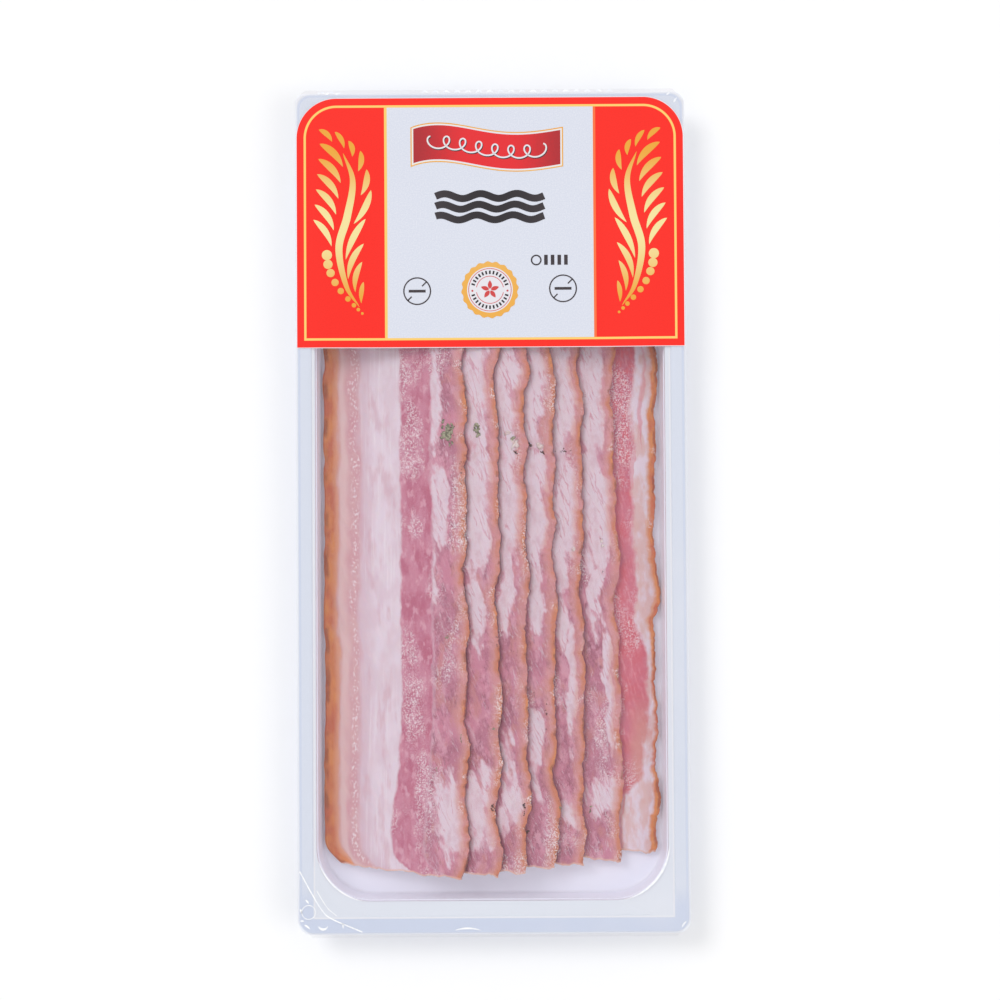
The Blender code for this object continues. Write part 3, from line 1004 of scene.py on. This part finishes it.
def printSprigs():
    pieces = []
    for side in (-1, 1):
        stem = through(ink["stem"])
        pieces.append(stroke(mirrored(stem, -side), leafy(ink["stemHalf"], 0.9), 60, 4))
        for k in range(6):
            leaf = straight(-52.4 - 0.4 * k, 113.4 - 4.7 * k, -45.3 - 0.72 * k, 106.3 - 4.9 * k, 0.10)
            pieces.append(stroke(mirrored(leaf, -side), leafy(1.1 - 0.03 * k), 16))
        pieces.append(stroke(mirrored(straight(-52.6, 117.8, -48.6, 114.1, 0.12), -side), leafy(0.8), 14))
        for x0, y0, x1, y1, half, bow in innerLeaves:
            pieces.append(stroke(mirrored(straight(x0, y0, x1, y1, bow), -side), leafy(half), 16))
        row = through([(-50.3, 79.0), (-49.6, 74.6), (-46.9, 69.0), (-42.5, 64.0), (-39.5, 61.0)])
        for k in range(ink["beads"]):
            x, y = (float(c[0]) for c in row(np.array([(k / (ink["beads"] - 1)) ** 0.86])))
            pieces.append(disc(-side * x, y, 1.6 * (1 - k / 11.5) ** 1.1, 16))
    return join(pieces, "labelSprigs")


def ribbonLine(u):
    low, high, height, _ = ink["ribbon"]
    wave = 1.55 * np.sin(2 * np.pi * np.clip(u, 0, 1) ** 0.8)
    return low + (high - low) * u, height + wave


def bannerStrip(inset, lift):
    low, high, _, half = ink["ribbon"]
    piece, flat = addGrid(48, 6)
    u = (flat[:, 0] + 1) / 2
    x = low + inset + (high - low - 2 * inset) * u
    middle = ribbonLine((x - low) / (high - low))[1]
    y = middle + flat[:, 1] * (half - inset)
    shapeTo(piece, x, y, labelTop(x, y) + ink["lift"] + lift)
    thicken(piece, "body", ink["thick"] * mm, 1)
    applyAll(piece)
    return piece


def scroll(sink, slip):  # a plain looped flourish along the ribbon
    low, high = ink["ribbon"][:2]

    def path(u):
        turn = 2 * np.pi * 7 * u
        share = (0.13 + 0.74 * u)
        x = low + (high - low) * share - 2.0 * np.sin(turn) + slip
        return x, ribbonLine(share)[1] + 1.9 * np.cos(turn) - sink
    return path


def printBanner():
    gold = bannerStrip(0.0, 0.0)
    white = bannerStrip(0.35, 0.012)
    red = bannerStrip(0.85, 0.024)
    shade = stroke(scroll(0.28, 0.18), even(0.26), 260, 1, 0.036)
    line = stroke(scroll(0.0, 0.0), even(0.24), 260, 1, 0.046)
    return gold, white, red, shade, line


def printInk():
    pieces = []
    for k in range(3):  # three wavy rashers stand where a name would
        def wavy(u, height=97.1 - 3.3 * k, shift=0.35 * k):
            return -16.8 + 33.4 * u, height + 0.75 * np.sin(2 * np.pi * (3 * u) + shift)
        pieces.append(stroke(wavy, even(1.1), 90, 2))
    pieces.append(stroke(around(14.1, 77.2, 1.45), even(0.22), 24, 1))
    for k in range(4):
        pieces.append(stroke(straight(17.1 + 2.05 * k, 75.7, 17.1 + 2.05 * k, 78.8), even(0.55), 2, 1))
    for middle, height in ((-22.6, 67.8), (22.3, 68.4)):
        pieces.append(stroke(around(middle, height, 4.1), even(0.2), 48, 1))
        for start, end in ((-2.9, -1.7), (1.5, 2.9)):
            dash = straight(middle + start, height + start, middle + end, height + end)
            pieces.append(stroke(dash, even(0.2), 2, 1))
        pieces.append(stroke(straight(middle - 2.6, height, middle + 2.6, height), even(0.42), 6, 1))
    x, y = ink["seal"][:2]
    for k in range(30):
        if k % 15 not in (0, 14):
            angle = 2 * np.pi * (k + 0.5) / 30
            dx, dy = math.cos(angle), math.sin(angle)
            tick = straight(x + 4.85 * dx, y + 4.85 * dy, x + 5.95 * dx, y + 5.95 * dy)
            pieces.append(stroke(tick, even(0.27), 2, 1, 0.03))
    return join(pieces, "labelInk")


def printSeal():
    x, y, radius = ink["seal"]
    gold = stroke(
        around(x, y, radius / 2 + 0.02), lambda u: radius / 2 + 0.22 * np.sin(2 * np.pi * 20 * u), 240, 4,
    )
    white = disc(x, y, 7.05, 64, 0.012)
    rings = [stroke(around(x, y, 6.55), even(0.10), 64, 1, 0.03)]
    for start in (0.03, 0.53):
        rings.append(stroke(around(x, y, 4.2, start, 0.44), even(0.10), 30, 1, 0.03))
    for side in (-1, 1):
        rings.append(disc(x + 5.4 * side, y - 0.3, 0.33, 12, 0.03))
    for turn in range(5):  # a small plain blossom
        angle = math.pi / 2 + 2 * math.pi * turn / 5
        dx, dy = math.cos(angle), math.sin(angle)
        petal = straight(x + 0.3 * dx, y + 0.3 * dy, x + 2.9 * dx, y + 2.9 * dy)
        rings.append(stroke(petal, leafy(0.62), 10, 2, 0.03))
    return gold, white, rings


def goldPaint():
    p = Paint("gold print", 0.36, Coat_Weight=0.08, Coat_Roughness=0.2)
    x, y, _ = p.inMm()
    middle = (y - 88).size()
    grain = p.cloud(p.vector(x, y, 0), 1.6, 2)
    colour = p.blend(srgb(*ink["goldPale"]), srgb(*ink["goldDeep"]), middle.step(2, 24))
    colour = p.blend(colour, srgb(*ink["sealGold"]), (1 - x.size().step(9.5, 11)) * (grain * 0.3 + 0.7))
    p.give("Base Color", colour)
    p.give("Roughness", 0.3 + grain * 0.12)
    return p.material


def printPaint(name, colour, edgeColour, reach):
    p = Paint(name, 0.36, Coat_Weight=0.08, Coat_Roughness=0.2)
    x, y, _ = p.inMm()
    grain = p.cloud(p.vector(x, y, 5), 1.2, 3)
    outer = (x.size() + (grain - 0.5) * 6).step(*reach)
    p.give("Base Color", p.blend(srgb(*colour), srgb(*edgeColour), outer))
    p.give("Roughness", 0.3 + grain * 0.12)
    return p.material


def makePrint():
    goldBand, whiteBand, redBand, shade, line = printBanner()
    sealGold, sealWhite, rings = printSeal()
    gold = join([printSprigs(), goldBand, sealGold], "labelGold")
    pale = join([whiteBand, sealWhite, line], "labelPale")
    red = join([redBand], "labelRibbon")
    thin = join(rings, "labelRings")
    dark = join([printInk(), shade], "labelInk")
    return (
        (gold, goldPaint()),
        (pale, printPaint("pale print", (228, 226, 232), (234, 230, 226), (4, 30))),
        (red, printPaint("ribbon red", ink["bannerRed"], ink["bannerDark"], (6, 24))),
        (thin, printPaint("ring red", ink["ringRed"], (190, 48, 56), (2, 9))),
        (dark, printPaint("dark print", ink["black"], (54, 44, 50), (4, 24))),
    )


filmGlints = {
    "diagonal": ((-59.3, -109.8), (-55.6, -116.6), (-52.5, -121.6), (-49.6, -124.2), (-40.2, -128.3)),
    "crimps": (
        (-59.2, -124.9, -58.0, -124.9), (-58.0, -126.0, -56.2, -127.4), (-59.3, -121.2, -58.7, -122.6),
        (-46.4, -125.6, -46.1, -127.2), (-57.6, -118.4, -56.6, -119.6), (54.6, 128.0, 55.6, 128.6),
        (56.8, 125.6, 57.9, 127.2), (57.2, -127.4, 58.6, -125.6), (-12.0, -127.9, -4.0, -128.0),
    ),
    "burr": ((-53.0, 128.9), (-51.8, 129.4), (-50.4, 128.8), (-49.0, 129.5), (-47.4, 128.9), (-45.8, 129.3)),
    "teeth": 18, "firstTooth": -20.0, "toothStep": 3.35,
}


def filmTop(x, y):
    return lidHeight(x, y) + film["thick"]


def makeFilmGlints():  # near-white strokes on the film along the seal's lines, the peel corner and the toothed far edge: real features drawn as painted glints; the two arcs at the near pocket corners are painted highlights only
    m = filmGlints
    pieces = []

    def drawGlint(path, half, along, across=1):
        pieces.append(stroke(path, half, along, across, ground=filmTop))

    thin, wide = even(0.13), even(0.2)
    drawGlint(through(m["diagonal"]), wide, 40)
    inner = through([(x + 1.5, y + 0.9) for x, y in m["diagonal"][1:-1]])
    drawGlint(inner, thin, 30)
    drawGlint(around(-56.6, -122.2, 2.1), thin, 36)
    drawGlint(around(-52.2, -125.9, 1.5, 0.55, 0.4), leafy(0.34), 16, 2)
    for ends in m["crimps"]:
        drawGlint(straight(*ends, 0.08), leafy(0.26), 10, 2)
    for k in range(m["teeth"]):
        x = m["firstTooth"] + m["toothStep"] * k
        drawGlint(around(x, 128.7, 0.95, 0.06, 0.38), leafy(0.22), 10, 2)
    drawGlint(through(m["burr"]), lambda u: 0.16 + 0.12 * np.sin(31 * u), 60)
    # painted highlights along the near right and near left corners of the pocket
    radius = tray["pocketRadius"] / mm
    cornerX = (pocket["shiftX"] + pocket["halfX"]) / mm - radius
    cornerY = -pocket["halfY"] / mm + radius
    drawGlint(around(cornerX, cornerY, radius + 0.3, 0.99, -0.20), leafy(0.3), 60, 2)
    leftX = (pocket["shiftX"] - pocket["halfX"]) / mm + radius
    drawGlint(around(leftX, cornerY, radius + 0.2, 0.55, 0.17), leafy(0.2), 60, 2)
    return join(pieces, "filmGlints")


def filmGlintPaint():
    # near-white, glossy and faintly glowing: the colour of painted glints
    p = Paint("film glints", 0.12, IOR=1.45, Coat_Weight=0.3, Coat_Roughness=0.05, Emission_Strength=0.05)
    x, y, _ = p.inMm()
    vary = p.cloud(p.vector(x, y, 0), 0.7, 2)
    p.give("Base Color", p.blend(srgb(238, 241, 249), srgb(252, 253, 255), vary.step(0.35, 0.6)))
    p.give("Roughness", 0.08 + vary * 0.12)
    return p.material


def makeFloor():
    bpy.ops.mesh.primitive_plane_add(size=6, location=(0, 0, -0.0002))
    floor = bpy.context.object
    floor.name = "studioFloor"
    settle(floor)
    p = Paint("white sweep", 0.9)
    p.give("Base Color", (0.96, 0.96, 0.965))
    floor.data.materials.append(p.material)


studio = {
    "distance": 0.852, "lens": 100, "lookX": 2.3 * mm, "lookY": 3.3 * mm, "tilt": 2.2, "roll": 0.35,
    "world": 0.80,
    "lamps": (("keyLight", 0.70, 24, (-30, -24)), ("fillLight", 0.34, 30, (36, 10))),  # power, spread, lean
}


def makeStudio():
    s = studio
    scene = bpy.context.scene
    scene.view_settings.view_transform = "Standard"
    world = bpy.data.worlds.new("studioWorld")
    scene.world = world
    world.use_nodes = True
    background = world.node_tree.nodes["Background"]
    background.inputs["Color"].default_value = (1, 1, 1, 1)
    background.inputs["Strength"].default_value = s["world"]
    for name, power, spread, (leanX, leanY) in s["lamps"]:
        data = bpy.data.lights.new(name, "SUN")
        data.energy = power
        data.angle = math.radians(spread)
        lamp = bpy.data.objects.new(name, data)
        scene.collection.objects.link(lamp)
        lamp.rotation_euler = (math.radians(leanY), math.radians(leanX), 0)
    data = bpy.data.cameras.new("camera")
    data.lens = s["lens"]
    data.sensor_width = 36
    camera = bpy.data.objects.new("camera", data)
    scene.collection.objects.link(camera)
    tilt = math.radians(s["tilt"])
    target = Vector((s["lookX"], s["lookY"], flangeTop))
    camera.location = target + Vector((0, -math.sin(tilt), math.cos(tilt))) * s["distance"]
    camera.rotation_euler = (tilt, 0, math.radians(-s["roll"]))
    scene.camera = camera


makeStudio()
makeFloor()
print("tray")
shell = makeTray()
finishPiece(shell, "tray_white", trayPaint(), "tray")
print("rashers")
slabs = []
for index in range(len(rashers)):
    slab = makeRasher(index)
    finishPiece(slab, "bacon", rasherPaint(index), f"rasher_{index + 1}")
    slabs.append(slab)
for piece, material in makeFlecks(slabs):
    finishPiece(piece, "bacon", material)
print("film and label")
lid = makeFilm()
finishPiece(lid, "clear_film", filmPaint(), "lid_film")
sheet = makeLabel()
finishPiece(sheet, "label_print", labelPaint(), "label")
for piece, material in makePrint():
    finishPiece(piece, "label_print", material)
finishPiece(makeFilmGlints(), "clear_film", filmGlintPaint())
